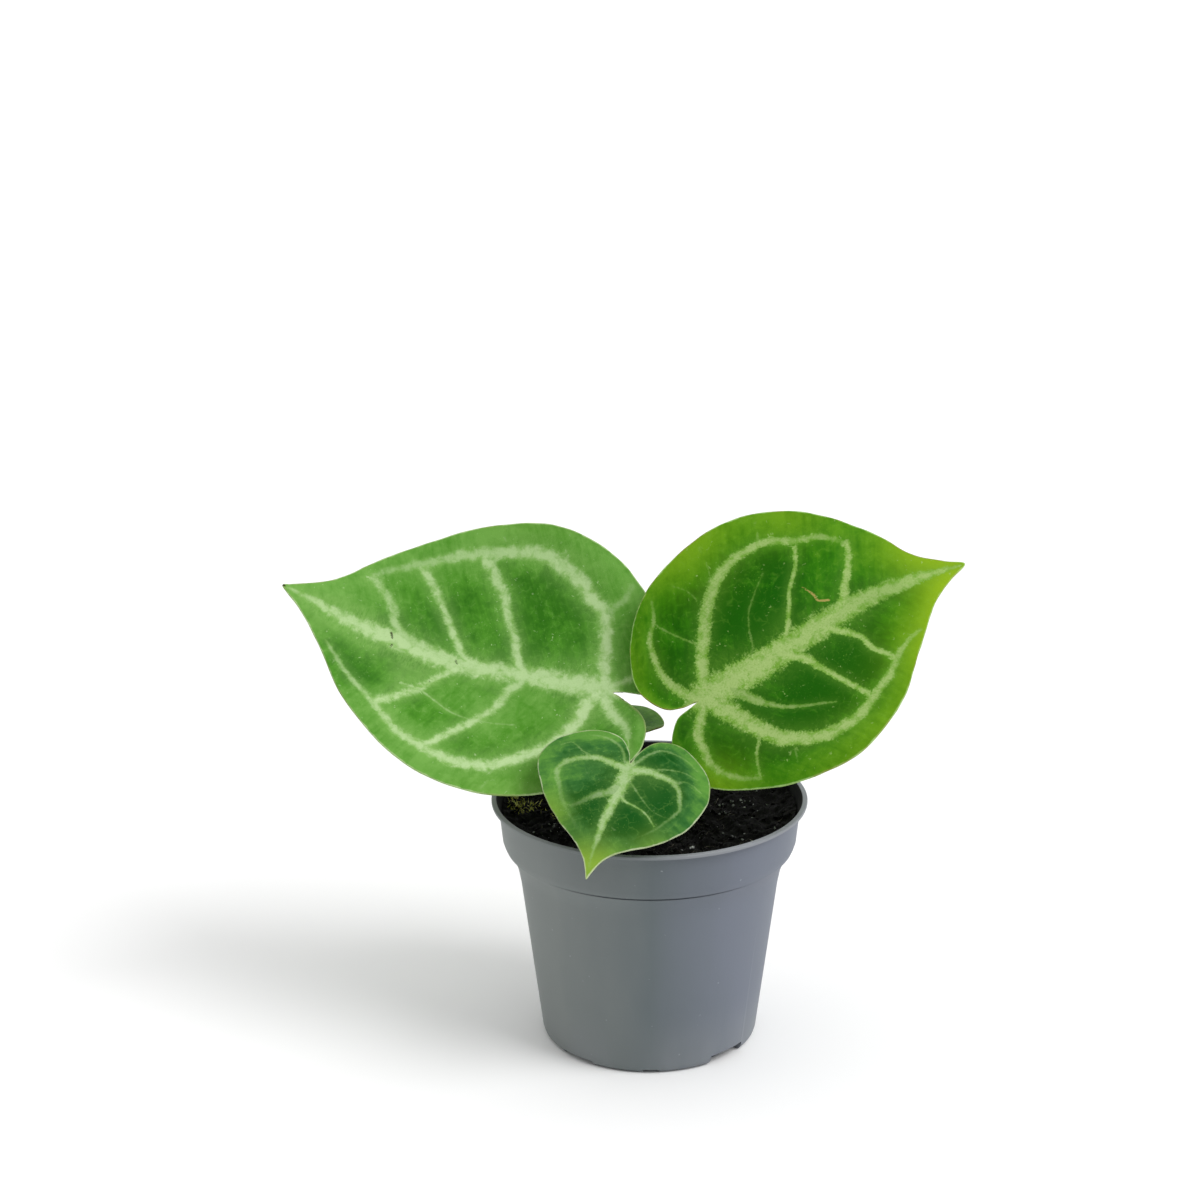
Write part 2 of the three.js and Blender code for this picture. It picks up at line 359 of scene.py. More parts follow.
pot = {
    "sides": 144,
    # [radius, height] in mm
    "outside": [(19.25, 0), (19.99, 0.19), (20.52, 0.73), (20.75, 1.45), (24.6, 31.6), (25.1, 34.2),
                (25.5, 35.6), (26.3, 37.2), (26.75, 37.95), (26.95, 38.22), (26.84, 38.3), (26.84, 38.55),
                (27.42, 38.62), (27.72, 39.3), (27.98, 40.1), (28.45, 44.5), (28.62, 45.6), (28.8, 46.6),
                (28.95, 47.05), (29.65, 47.2), (29.95, 47.36), (30, 47.55), (30, 47.85), (29.88, 48)],
    "inside": [(29.15, 48), (29.0, 47.88), (28.35, 46.5), (27.95, 44.5), (27.2, 40.2), (26.5, 38.6),
               (25.4, 37), (24.6, 35.8), (24.2, 33.9), (20.0, 2), (19.05, 1)],
    "groove": (26.95, 38.22),      # radius and height of its lower edge
    "grooveRise": (0.05, 0.36),    # the points this far above it are the groove's floor
    "grooveSlope": 1.12,           # how fast the wall widens where the groove has run out
    # width, height, degrees from the front
    "notches": [(8.5, 2.0, (46, 226)), (7.5, 1.0, (138, 318)), (3.2, 0.8, (1, 91, 181, 271))],
    "notchDepth": 2.6,
    "notchRounding": 0.25,
    "edgeSoftness": 0.09,
    "soilLine": (43.5, 44),        # mm, the inside wall is near black from here up
}


def runOutGroove(piece):   # the groove under the band runs out towards the sides
    edgeRadius, edgeHeight = pot["groove"]
    low, high = pot["grooveRise"]
    for vertex in piece.data.vertices:
        rise = vertex.co.z / mm - edgeHeight
        if low < rise < high:
            out = math.hypot(vertex.co.x, vertex.co.y) / mm
            runOut = 1 - (abs(vertex.co.y) / mm / out) ** 3
            share = 1 + runOut * ((edgeRadius + pot["grooveSlope"] * rise) / out - 1)
            vertex.co.x *= share
            vertex.co.y *= share


def cutNotches(piece):
    out, _ = pot["outside"][3]
    cutters = []
    for width, rise, azimuths in pot["notches"]:
        for azimuth in map(math.radians, azimuths):
            bpy.ops.mesh.primitive_cube_add(
                size=1, location=(out * math.sin(azimuth) * mm, -out * math.cos(azimuth) * mm, 0),
                rotation=(0, 0, azimuth), scale=(width * mm, 2 * pot["notchDepth"] * mm, 2 * rise * mm))
            cutters.append(justAdded("notchCutter"))
    pick(*cutters)
    bpy.ops.object.join()
    cutter = bpy.context.active_object
    settle(cutter)
    bevel = cutter.modifiers.new("corners", "BEVEL")
    bevel.width = pot["notchRounding"] * mm
    bevel.segments = 3
    applyAll(cutter)
    cut = piece.modifiers.new("notches", "BOOLEAN")
    cut.object = cutter
    cut.operation = "DIFFERENCE"
    cut.solver = "EXACT"
    applyAll(piece)
    bpy.data.objects.remove(cutter)


def potMaterial():
    material, tree = newMaterial("greyPolypropylene")
    where = objectPlace(tree)
    x, y, height = apart(where)
    clouds = grain(stretched(where, 0.25), 55, 4)
    # painted light and shade across the pot: lighter and greener on the left, darker in the middle, lighter
    # and bluer on the right; the clouds add tone that differs at random
    body = (x.fade(-0.03, 0.03) + clouds.swing(0.5)).ramp([
        (0.1, color(121, 127, 125)), (0.5, color(99, 108, 111)), (0.9, color(109, 115, 127))])

    # painted shade at the front and the back only: a faint dark tone over the band and a darker line in the
    # groove
    paintedGrooveShade = abs(height - 0.03842).fade(0.0005, 0.0001, 0.6)
    shade = paintedGrooveShade.operate("MAXIMUM", height.fade(0.0384, 0.0395, 0.14))
    body = mix(shade * abs(y).fade(0.019, 0.027), body, color(58, 62, 66))

    # pale specks, a paler tone in patches towards the foot, and a painted highlight on the top of the lip
    # towards the right
    specks = node(tree, "TexVoronoi", {"Vector": where, "Scale": 520}, feature="F1").fade(0.17, 0.1)
    body = mix(specks * grain(where, 900, 1).fade(0.64, 0.7, 0.35), body, color(176, 180, 184))
    body = mix(height.fade(0.014, 0.0) * clouds.fade(0.3, 0.6, 0.5), body, color(134, 138, 140))
    # painted highlight: the lip's top is lighter on the side the key light comes from
    body = mix(height.fade(0.0472, 0.0475) * x.fade(-0.014, 0.01, 0.55), body, color(152, 154, 156))

    # the inside wall is near black and matte from the soil line up to the lip; the wall's radius grows with
    # the height
    across = node(tree, "CombineXYZ", {0: x, 1: y})
    out = node(tree, "VectorMath", {0: across}, output="Value", operation="LENGTH")
    low, high = pot["soilLine"]
    inside = (height * 0.27 + 0.01621 - out).fade(0.0, 0.00015) * height.fade(low * mm, high * mm)
    body = mix(inside * 0.97, body, color(14, 13, 11))
    rough = (clouds * 0.16 + 0.42).operate("MAXIMUM", inside)
    dress(tree, {"Base Color": body, "Roughness": rough, "Specular IOR Level": 0.25},
          bump=(clouds * 0.6 + grain(where, 2600, 2, 0.6), 0.12, 0.12))
    return material


potShell = turned("potShell", pot["sides"], pot["outside"] + pot["inside"])
runOutGroove(potShell)
cutNotches(potShell)
rounding = potShell.modifiers.new("rounding", "BEVEL")
rounding.width = pot["edgeSoftness"] * mm
rounding.segments = 2
rounding.limit_method = "ANGLE"
rounding.angle_limit = math.radians(38)
applyAll(potShell)
smooth(potShell, 35)
standFor(potShell, "pot", potMaterial())
print("pot made:", len(potShell.data.polygons), "faces")


# soil: a lumpy bed with crumbs, fibres and a little moss

soil = {
    "radius": 27.9,
    "level": 44.2,
    "lump": 0.7,
    "heap": 1.9,              # mm higher at the wall
    "heapStart": 22,
    "grid": 150,
    "skirt": 3.0,
    "crumbs": 850,
    "crumbSize": (0.22, 0.75),
    "grit": 80,
    "gritSize": (0.12, 0.44),
    "gritPlaces": [(18.5, 5.5, 3.5, 3), (13, 3.5, 2.5, 3), (12.5, -11, 4, 2.5), (8, -20, 2.5, 1),
                   (-18.5, -8.6, 2, 2)],   # x, y and spreads
    "gritReach": 26.5,
    "fibres": 90,
    "fibreWidth": 0.07,
    "fibrePoints": 6,
    "fibreReach": 27,
    "mossBlades": 260,
    "mossPlaces": [(-26, 5, 0.7, 2.4), (-25.4, 0.6, 0.8, 1.7), (-23.2, 2.2, 1.5, 1.6),
                   (-17.4, -0.5, 0.7, 1.6), (-13.2, -20.5, 0.5, 0.6)],
    "mossReach": 27.3,
    "seed": 11,
}


def soilHeight(x, y):   # mm, the same lumps as the solid, with finer crumb on top
    lumps = 0.6 * math.sin(0.53 * x + 1.7) * math.cos(0.47 * y - 0.6)
    lumps += 0.5 * math.sin(1.31 * x - 0.74 * y + 2.1) * math.cos(1.17 * y + 0.38 * x)
    spot = Vector((x, y, 3.1))
    crumb = 0.55 * noise.fractal(spot * 0.8, 0.8, 2.1, 4) + 0.22 * noise.noise(spot * 3.3)
    start = soil["heapStart"]
    heap = soil["heap"] * max(0, (math.hypot(x, y) - start) / (soil["radius"] - start)) ** 2
    return soil["level"] + soil["lump"] * lumps * (1 - heap / 3) + crumb + heap


def roundedSquare(a, b):   # spreads a square grid over a disc
    if a == 0 and b == 0:
        return 0.0, 0.0
    if abs(a) > abs(b):
        turn = math.pi / 4 * b / a
        return a * math.cos(turn), a * math.sin(turn)
    turn = math.pi / 2 - math.pi / 4 * a / b
    return b * math.cos(turn), b * math.sin(turn)


def makeSoilBed():
    bpy.ops.mesh.primitive_grid_add(x_subdivisions=soil["grid"], y_subdivisions=soil["grid"], size=2)
    bed = justAdded("soilBed")
    for vertex in bed.data.vertices:
        a, b = roundedSquare(vertex.co.x, vertex.co.y)
        x, y = a * soil["radius"], b * soil["radius"]
        vertex.co = Vector((x, y, soilHeight(x, y))) * mm
    with wholeMesh():
        bpy.ops.mesh.select_mode(type="EDGE")
        bpy.ops.mesh.select_all(action="DESELECT")
        bpy.ops.mesh.select_non_manifold()
        for share in (0.995, 0.96):
            bpy.ops.mesh.extrude_edges_move(TRANSFORM_OT_translate={"value": (0, 0, -soil["skirt"] * mm)})
            bpy.ops.transform.resize(value=(share, share, 1), center_override=(0, 0, 0))
        bpy.ops.mesh.edge_face_add()
        faceOutwards()
    smooth(bed, 60)
    return bed


def soilSpot(dice, most=0.97):
    turn = dice.uniform(0, 2 * math.pi)
    out = soil["radius"] * most * math.sqrt(dice.random())
    return out * math.cos(turn), out * math.sin(turn)


def gritSpot(dice):
    middleX, middleY, spreadX, spreadY = dice.choice(soil["gritPlaces"])
    x, y = dice.gauss(middleX, spreadX), dice.gauss(middleY, spreadY)
    return (x, y) if math.hypot(x, y) < soil["gritReach"] else gritSpot(dice)


def leaning(dice, most):   # turned any way round, and tilted a little
    return dice.uniform(-most, most), dice.uniform(-most, most), dice.uniform(0, 6.28)


def scatterCrumbs(name, count, crumbSize, spot, seed):
    dice = random.Random(seed)
    low, high = crumbSize
    kinds = []
    for kind in range(5):
        bpy.ops.mesh.primitive_ico_sphere_add(subdivisions=1, radius=1)
        crumb = justAdded("crumb%d" % kind)
        for vertex in crumb.data.vertices:
            vertex.co *= dice.uniform(0.62, 1.15)
        kinds.append(crumb)
    copies = []
    for _ in range(count):
        source = dice.choice(kinds)
        x, y = spot(dice)
        size = low + (high - low) * dice.random() ** 2.2
        stretch = (size * dice.uniform(0.8, 1.7), size, size * dice.uniform(0.5, 1))
        place = (x, y, soilHeight(x, y) + 0.25 * size)
        copies.append(placeCopy(source, place, stretch, leaning(dice, 0.6)))
    return joinCopies(name, copies, kinds, 30)


def scatterFibres():
    dice = random.Random(soil["seed"] + 1)
    fibres = startTubes("soilFibres", soil["fibreWidth"], 0)
    last = soil["fibrePoints"] - 1
    most = soil["fibreReach"]
    for _ in range(soil["fibres"]):
        x, y = soilSpot(dice, 0.93)
        heading = dice.uniform(0, 6.28)
        length = dice.uniform(1.2, 5.5)
        bend = dice.uniform(-0.5, 0.5)
        route = []
        for step in range(last + 1):
            lift = 0.12 + 0.5 * dice.random() * math.sin(math.pi * step / last)
            if math.hypot(x, y) > most:
                x, y = x * most / math.hypot(x, y), y * most / math.hypot(x, y)
            route.append((x, y, soilHeight(x, y) + lift))
            heading += bend * dice.uniform(0.3, 1.4)
            x += length / last * math.cos(heading)
            y += length / last * math.sin(heading)
        addTube(fibres, route, [1.3 - 0.9 * step / last for step in range(last + 1)])
    return tubesToMesh(fibres)


def growMoss():
    dice = random.Random(soil["seed"] + 2)
    bpy.ops.mesh.primitive_cone_add(vertices=5, radius1=0.16, radius2=0.03, depth=1.3, location=(0, 0, 0.6))
    blade = justAdded("mossBlade")
    settle(blade)
    with wholeMesh():
        bpy.ops.mesh.subdivide(number_cuts=1)
    for vertex in blade.data.vertices:
        vertex.co.x += 0.35 * vertex.co.z ** 2
    copies = []
    for _ in range(soil["mossBlades"]):
        middleX, middleY, spreadX, spreadY = dice.choice(soil["mossPlaces"])
        x = middleX + dice.gauss(0, spreadX)
        y = middleY + dice.gauss(0, spreadY)
        if math.hypot(x, y) <= soil["mossReach"]:
            size = dice.uniform(0.3, 0.85)
            place = (x, y, soilHeight(x, y))
            copies.append(placeCopy(blade, place, (size, size, size), leaning(dice, 0.7)))
    return joinCopies("soilMoss", copies, [blade], 50)


def soilMaterial(name, scale, roughness, tints):
    material, tree = newMaterial(name)
    where = objectPlace(tree)
    patchy = grain(where, scale, 5, 0.6)
    crumbs = grain(where, 2400, 3, 0.7)
    tint = (crumbs * 0.35 + patchy * 0.65).ramp([(place, color(*shade)) for place, *shade in tints])
    rough = patchy.fade(0.35, 0.65) * 0.25 + (roughness - 0.25)
    dress(tree, {"Base Color": tint, "Roughness": rough, "Specular IOR Level": 0.12},
          bump=(crumbs, 0.7, 0.3))
    return material


soilCrumbs = (soil["crumbs"], soil["crumbSize"], soilSpot, soil["seed"])
soilGrit = (soil["grit"], soil["gritSize"], gritSpot, soil["seed"] + 3)
for piece, name, scale, roughness, tints in (
        (makeSoilBed(), "dampPeat", 420, 0.95,
         [(0.36, 3, 3, 2), (0.56, 9, 9, 7), (0.68, 22, 20, 15), (0.8, 44, 40, 32)]),
        (scatterCrumbs("soilCrumbs", *soilCrumbs), "barkCrumb", 560, 0.9,
         [(0.4, 4, 4, 3), (0.58, 13, 12, 10), (0.68, 34, 31, 26), (0.78, 110, 106, 94)]),
        (scatterCrumbs("soilGrit", *soilGrit), "paleGrit", 480, 0.7,
         [(0.4, 60, 64, 60), (0.52, 120, 124, 120), (0.64, 200, 202, 196)]),
        (scatterFibres(), "paleFibre", 320, 0.8,
         [(0.44, 18, 16, 12), (0.56, 70, 66, 56), (0.66, 176, 174, 160)]),
        (growMoss(), "youngMoss", 600, 0.8,
         [(0.36, 120, 122, 52), (0.5, 200, 196, 104), (0.62, 250, 244, 180)])):
    standFor(piece, "soil", soilMaterial(name, scale, roughness, tints))
    print(piece.name, "made:", len(piece.data.polygons), "faces")


# stem: the short crown between the stalks, with leaf scars and a closed bud

stem = {
    "sides": 48,
    "profile": [(0.9, 30.2), (1.8, 30.6), (2.5, 33), (2.8, 38), (2.95, 43.6), (3, 44.4), (2.86, 44.6),
                (2.9, 45.2), (2.74, 46), (2.58, 46.2), (2.6, 46.9), (2.2, 48), (2.04, 48.2), (1.98, 48.8),
                (1.5, 50.3), (1.1, 51.5), (0.7, 52.4), (0.25, 52.95)],
}


def fleshMaterial(name, foot, top, blush, low, high):   # from its foot to its top colour, heights in mm
    material, tree = newMaterial(name)
    where = objectPlace(tree)
    streaks = grain(stretched(where, 0.12), 1500, 3)
    clouds = grain(where, 170, 3)
    _, _, height = apart(where)
    body = mix(clouds.swing(0.5) + height.fade(low * mm, high * mm), foot, top)
    body = mix(clouds.fade(0.52, 0.72, 0.55), body, blush)
    body = mix(streaks.fade(0.5, 0.75, 0.3), body, color(190, 205, 150))
    dress(tree, {"Base Color": body, "Roughness": streaks * 0.2 + 0.35}, bump=(streaks, 0.25, 0.1))
    return material


crownStem = turned("crownStem", stem["sides"], stem["profile"])
smooth(crownStem, 50)
standFor(crownStem, "stem", fleshMaterial(
    "crownFlesh", color(96, 92, 52), color(112, 142, 62), color(134, 102, 70), 44, 50))
print("stem made")


# leaves. Places on a blade are flat ones: the stalk joint is (0, 0) and the tip lies towards +x. They are
# given as (x, y) in mm, as (angle in degrees, mm) for the outline, and as (angle, percent of the way to
# the outline) for veins and marks, whose rows are (half widths in mm, strengths, line) from start to end.
# Spots, tones and warmths are (x, y, spread, strength). Curl is in degrees for each mm of midrib.

hair = ((0.25, 0.15), (0.4, 0.2))   # the half widths and strengths of a hair-fine vein

leftLeaf = {
    "node": "leaf_left",
    "at": (-8, 4, 67.9), "heading": 166, "pitch": 3, "roll": -42,
    "curl": 0.5, "cup": 0.007, "wave": 0.45,
    "stalkRoute": [(-2.9, -0.4, 46), (-4.2, 1.2, 54), (-6.2, 4, 62)], "stalkSize": 1,
    "edge": [(160, 1.4), (152, 6), (145, 10.8), (127, 15.3), (104, 19.5), (77, 26.3), (57, 33.5),
             (37, 41.9), (18, 50.2), (6, 55.8), (0, 61), (-2, 64.4), (-2.9, 65.6), (-3.6, 64.3),
             (-8, 57.4), (-20, 50), (-40, 41.5), (-60, 34.5), (-82, 26.6), (-104, 19.5), (-132, 14.6),
             (-158, 11), (-178, 7.4), (-184, 2.6)],
    "edgeSteps": 13, "rings": 125, "middle": 6,
    "midrib": ((3, 2.5, 2.1, 2.3, 2.2, 1.2, 0.3), (0.9, 0.9, 0.88, 0.9, 0.88, 0.8, 0.5),
               [(0, 0), (9, 0), (17, 0), (29, 1), (38, 0.2), (45, -0.7), (52, -1.3), (59, -2.6),
                (64.5, -3.2)]),
    "veins": [
        ((1.6, 1.6, 1.8, 1.8, 1.4, 0.9), (0.95, 0.85, 0.85, 0.8, 0.7, 0.35),
         [(-60, 5), (-74, 23), (-77, 39), (-76, 53), (-70, 60), (-65, 68), (-60, 75), (-54, 81),
          (-47, 84), (-34, 87), (-25, 90), (-15, 94)]),
        ((1.5, 1, 1.4), (0.95, 0.8, 0.8),
         [(-1, 17), (-3, 26), (-17, 39), (-27, 53), (-33, 66), (-36, 85)]),
        ((1.2, 0.9, 1.1), (0.95, 0.8, 0.75),
         [(0, 36), (-1, 44), (-7, 52), (-13, 63), (-17, 72), (-20, 82), (-22, 90)]),
        ((1.5, 1.1, 1.1), (0.85, 0.7, 0.6), [(0, 53), (-2, 61), (-5, 69), (-9, 79), (-13, 93)]),
        ((1.3, 0.8), (0.65, 0.25), [(-77, 42), (-77, 55), (-89, 76), (-91, 89)]),
        ((1.1, 0.8), (0.9, 0.5), [(-120, 5), (-146, 20), (-144, 44), (-138, 66)]),
        ((2.2, 1.8, 1.6, 1.6, 1.4, 1, 0.45), (1, 1, 1, 1, 0.9, 0.8, 0.4),
         [(25, 3), (44, 7), (56, 17), (64, 30), (64, 41), (60, 55), (55, 65), (51, 75), (46, 80),
          (41, 84), (33, 86), (26, 89), (19, 89), (12, 93), (5, 96)]),
        ((1.2, 1, 1.2), (0.75, 0.85, 1),
         [(2, 26), (13, 36), (22, 44), (27, 54), (30, 65), (32, 76), (34, 85)]),
        ((1.2, 0.9, 1.2), (1, 0.9, 1), [(1, 45), (5, 53), (9, 60), (13, 68), (16, 78), (18, 88)]),
        ((0.35, 0.25, 0.2), (0.6, 0.45, 0.3), [(12, 74), (14, 68), (23, 62), (30, 53), (36, 45)]),
        ((1.8, 1.4, 0.9), (0.95, 0.8, 0.5), [(95, 10), (113, 30), (125, 56), (123, 72)]),
        ((0.15, 0.22, 0.2), (0.9, 1, 1), [(124, 72), (120, 85), (116, 99)]),
        (*hair, [(-58, 78), (-62, 86), (-66, 97)]),
        (*hair, [(-42, 85), (-44, 92), (-46, 98)]),
        ((0.25, 0.15), (0.35, 0.2), [(52, 76), (55, 86), (57, 97)]),
    ],
    "marks": [((0.34, 0.24), 1, [(-2.1, 66.5), (-0.8, 68)]), ((0.3, 0.28), 1, [(0.9, 70), (1.9, 71.2)]),
              ((0.24, 0.24), 1, [(0.5, 49), (1.6, 49)]), ((0.24, 0.24), 0.9, [(9.7, 62.5), (10.7, 63)]),
              ((0.15, 0.3), 1, [(-2.85, 99), (-2.9, 99.9)])],
    "paleSpots": [(35.6, 4.6, 3, 0.9), (39, 7, 3, 0.75), (44, 0, 4, 0.35), (53, -1.5, 4, 0.4),
                  (57, -4, 5, 0.25), (50, -3, 4, 0.35), (47, 2.5, 3.5, 0.35), (57, 1, 4, 0.6),
                  (3, -4, 4, 0.4), (2, 5, 3.5, 0.5), (22, 3, 4, 0.25)],
    "colors": {"deep": (46, 106, 18), "mid": (72, 134, 34), "light": (104, 158, 66),
               "warm": (116, 160, 66), "vein": (178, 206, 148), "glow": (130, 174, 90),
               "rimPale": (196, 218, 160), "rimDark": (150, 170, 104), "mark": (40, 34, 18)},
    "base": 0.1, "outer": 0.5, "fringe": 0.6, "haze": 0.85, "sparkle": 0.35, "flecks": 0.65,
    "veinEdge": (0.38, 0.76),
    "tones": [(34, -8, 8, -0.1), (5, 14, 9, 0.35), (-4, -12, 9, 0.55), (41, -8, 5, 0.15),
              (51, 6, 6, -0.5), (28, 9, 8, 0.4), (18, -14, 8, -0.05), (4, -24, 6, 0.2),
              (28, -11, 5, 0.35), (32, -26, 5, 0.25), (16, -29, 5, -0.15), (19, 10, 7, 0.4),
              (13, 6, 5, 0.35), (47, 9, 4, -0.5), (45, -11, 4, -0.2), (32, 22, 5, 0.2),
              (10, 22, 5, -0.15)],
    "warmths": [(10, 26, 14, 0.3), (25, -34, 10, 0.3)],
    "rimTone": 0.3, "sheen": 0.02,
}

rightLeaf = {
    "node": "leaf_right",
    "at": (10.2, -5, 69.3), "heading": 8, "pitch": 35, "roll": 42,
    "curl": -0.5, "cup": 0.004, "wave": 0.4,
    "stalkRoute": [(3, 0.2, 46), (4.6, -0.6, 54), (7.8, -1.3, 62.5)], "stalkSize": 1,
    "edge": [(165, 1.2), (167, 4.6), (158, 8), (136, 13.3), (114, 17.7), (92, 22.6), (72, 27.7), (52, 35),
             (34, 40.9), (15, 45.6), (5, 48.4), (0, 53.2), (-2, 56.2), (-4.2, 52.2), (-8, 47.4),
             (-20, 41.1), (-38, 37), (-58, 32.9), (-76, 27), (-94, 21.6), (-118, 17.7), (-142, 14),
             (-162, 9.8), (-178, 6.4), (-181, 3)],
    "edgeSteps": 13, "rings": 120, "middle": 6,
    "midrib": ((3.6, 3.3, 2.8, 2.3, 1.8, 1.05, 0.25), (1, 1, 0.94, 0.82, 0.7, 0.8, 0.6),
               [(0, 0), (7, -0.5), (14, -0.9), (24, -0.5), (32, 0.1), (39, -0.1), (45, -0.7), (50, -1.3),
                (55.4, -2)]),
    "veins": [
        ((1.6, 1.3, 1.3, 1.1, 0.9, 0.8, 0.5), (1, 0.95, 0.8, 0.8, 0.82, 0.7, 0.3),
         [(40, 4), (62, 16), (60, 30), (58, 43), (56, 56), (52, 68), (48, 75), (42, 80), (37, 83),
          (30, 84), (24, 89), (17, 90)]),
        ((0.65, 0.4, 0.5), (0.95, 0.8, 0.8), [(0, 33), (7, 42), (15, 51), (21, 60), (25, 72), (30, 84)]),
        ((0.25, 0.18), (0.35, 0.2), [(4, 14), (10, 26), (26, 37), (32, 47), (34, 65)]),
        ((1.6, 0.8, 0.7), (1, 0.9, 0.85), [(0, 50), (2, 60), (8, 72), (12, 80), (17, 90)]),
        ((2.4, 1.8, 1.6, 1.4, 1, 0.75, 0.4), (1, 1, 1, 0.95, 0.85, 0.8, 0.4),
         [(-40, 3), (-62, 8), (-66, 24), (-66, 36), (-66, 48), (-64, 59), (-60, 67), (-56, 74), (-51, 79),
          (-46, 83), (-41, 85), (-36, 85), (-32, 87), (-27, 89), (-22, 90), (-18, 92), (-15, 96)]),
        ((1.2, 0.65, 0.65), (1, 0.95, 0.9),
         [(-3, 30), (-13, 45), (-20, 54), (-27, 64), (-31, 72), (-35, 82)]),
        ((1.2, 0.65, 0.6), (1, 0.9, 0.85), [(-1, 47), (-6, 56), (-12, 69), (-17, 76), (-22, 89)]),
        ((1.3, 0.85, 0.6, 0.3), (1, 0.9, 0.8, 0.3),
         [(178, 6), (130, 25), (122, 46), (112, 60), (103, 72), (97, 78), (89, 80), (85, 90)]),
        ((0.3, 0.18), (0.5, 0.3), [(62, 26), (64, 34), (77, 48), (85, 62), (90, 77)]),
        ((0.25, 0.15), (0.35, 0.2), [(58, 48), (61, 58), (66, 71), (73, 84)]),
        (*hair, [(54, 66), (57, 78), (60, 93)]),
        (*hair, [(40, 82), (42, 90), (44, 98)]),
        ((1.5, 0.9, 0.45), (1, 0.85, 0.4),
         [(-110, 4), (-128, 15), (-130, 42), (-120, 62), (-112, 77), (-101, 85), (-89, 89)]),
        ((0.45, 0.3), (0.8, 0.6), [(-66, 38), (-72, 50), (-82, 65), (-88, 87)]),
        (*hair, [(-64, 58), (-65, 68), (-71, 83)]),
        ((1.4, 0.45, 0.25), (0.75, 0.6, 0.4), [(-14, 12), (-39, 27), (-44, 42), (-42, 53), (-39, 68)]),
    ],
    "marks": [((0.15, 0.3, 0.25, 0.3), 0.9, [(18, 62.5), (12, 61), (9, 59.5), (6.5, 62)])],
    "paleSpots": [(5, 3, 4.5, 0.4), (20, 5, 2.5, 0.35), (26, 7, 2, 0.2), (32, 7, 3, 0.2),
                  (32, -2.5, 2.5, 0.45)],
    "colors": {"deep": (18, 86, 0), "mid": (42, 112, 3), "light": (82, 140, 20),
               "warm": (136, 171, 22), "vein": (160, 188, 112), "glow": (112, 160, 54),
               "rimPale": (180, 214, 136), "rimDark": (146, 140, 66), "mark": (168, 152, 84)},
    "base": -0.02, "outer": 0.5, "fringe": 1.2, "haze": 0.45, "sparkle": 0.9, "flecks": 0.6,
    "veinEdge": (0.41, 0.64),
    "tones": [(46, -14, 9, 0.3), (44, 10, 9, 0.25), (-8, 12, 9, 0.15), (-8, -12, 7, 0.45),
              (20, 10, 10, -0.15), (24, -12, 8, -0.25), (12, 28, 10, 0.3), (30, 9, 5, 0.25),
              (28, 24, 6, 0.3), (26, -23, 6, 0.15), (28, 5, 4, 0.25), (27, -14, 4, -0.25),
              (4, 15, 5, 0.15)],
    "warmths": [(43, -16, 10, 0.8), (18, -32, 14, 0.2), (52, -4, 9, 0.9), (30, -30, 12, 0.25),
                (-6, -16, 7, 0.4), (48, 6, 7, 0.35), (13, 27, 10, 0.42), (-9, 14, 7, 0.2),
                (32, 22, 7, 0.3), (40, -4, 4, -0.1)],
    "rimTone": 0.25, "sheen": 0,
}

